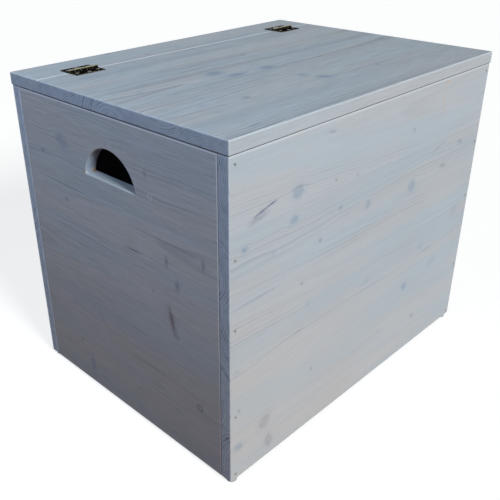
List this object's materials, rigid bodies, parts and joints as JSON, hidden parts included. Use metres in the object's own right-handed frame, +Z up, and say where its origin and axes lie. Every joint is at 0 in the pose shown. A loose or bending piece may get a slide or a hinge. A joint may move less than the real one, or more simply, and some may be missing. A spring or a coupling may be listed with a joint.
{
  "type": "wooden toy box",
  "caption": "Grey-stained pine toy box with a rear-hinged lid, a fixed rear rail, two surface-mounted butt hinges and a D-shaped hand hole in each end.",
  "frame": {"origin": "on the floor, under the middle of the box", "axes": "+X along the length to the right, +Y to the back where the hinges are, +Z up"},
  "size_m": [0.6, 0.446, 0.5049],
  "materials": {
    "stained_pine": "matt translucent grey stain over knotty pine",
    "hinge_bronze": "antique dark bronze, worn to brass on the edges",
    "hinge_pin_steel": "dark antique finish on steel",
    "screw_steel": "bright zinc-plated, countersunk with a cross recess",
    "brad_steel": "dull steel, sunk below the face",
    "glide_plastic": "matt light grey",
    "glide_nail_steel": "plain steel"
  },
  "bodies": {
    "box": {"back_batten": "stained_pine", "back_batten_brads": "brad_steel", "back_left_brads": "brad_steel", "back_left_glide": "glide_plastic", "back_panel": "stained_pine", "back_right_brads": "brad_steel", "back_right_glide": "glide_plastic", "bottom_brads": "brad_steel", "bottom_panel": "stained_pine", "front_batten": "stained_pine", "front_batten_brads": "brad_steel", "front_left_brads": "brad_steel", "front_left_glide": "glide_plastic", "front_panel": "stained_pine", "front_right_brads": "brad_steel", "front_right_glide": "glide_plastic", "glide_nails": "glide_nail_steel", "left_batten": "stained_pine", "left_batten_brads": "brad_steel", "left_hinge_pin": "hinge_pin_steel", "left_hinge_rail_leaf": "hinge_bronze", "left_hinge_rail_screws": "screw_steel", "left_side_panel": "stained_pine", "rail_brads": "brad_steel", "rear_rail": "stained_pine", "right_batten": "stained_pine", "right_batten_brads": "brad_steel", "right_hinge_pin": "hinge_pin_steel", "right_hinge_rail_leaf": "hinge_bronze", "right_hinge_rail_screws": "screw_steel", "right_side_panel": "stained_pine"},
    "lid": {"left_hinge_lid_leaf": "hinge_bronze", "left_hinge_lid_screws": "screw_steel", "lid_panel": "stained_pine", "right_hinge_lid_leaf": "hinge_bronze", "right_hinge_lid_screws": "screw_steel"}
  },
  "joints": [
    {"name": "lid_hinge", "type": "hinge", "parent": "box", "child": "lid", "pos_m": [0, 0.151, 0.5025], "axis": [-1, 0, 0], "range_deg": [0, 180]}
  ]
}
